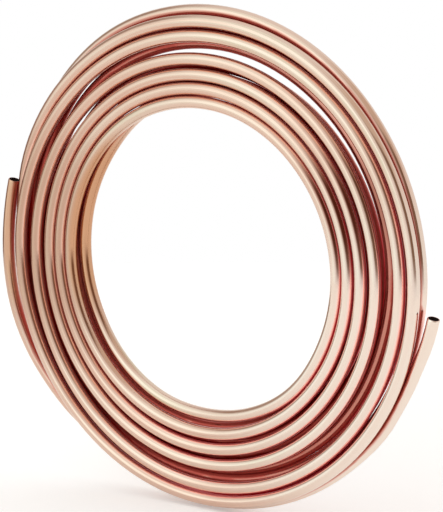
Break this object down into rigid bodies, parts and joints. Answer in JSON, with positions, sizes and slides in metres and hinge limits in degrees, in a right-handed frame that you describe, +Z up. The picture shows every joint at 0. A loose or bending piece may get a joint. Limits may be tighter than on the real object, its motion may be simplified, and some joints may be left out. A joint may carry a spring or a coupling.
{
  "type": "copper tube coil",
  "caption": "Coil of soft copper tube wound side by side in two layers around an open eye, with both cut ends sprung out from the rim.",
  "frame": {"origin": "on the floor under the middle of the coil's box", "axes": "+Z up, the coil's axis along Y with the nearer end at -Y, +X to the viewer's right"},
  "size_m": [0.406, 0.019, 0.3828],
  "materials": {
    "soft_copper": "bright drawn and annealed copper, satin"
  },
  "bodies": {
    "root": {"copper_tube": "soft_copper"}
  },
  "joints": []
}
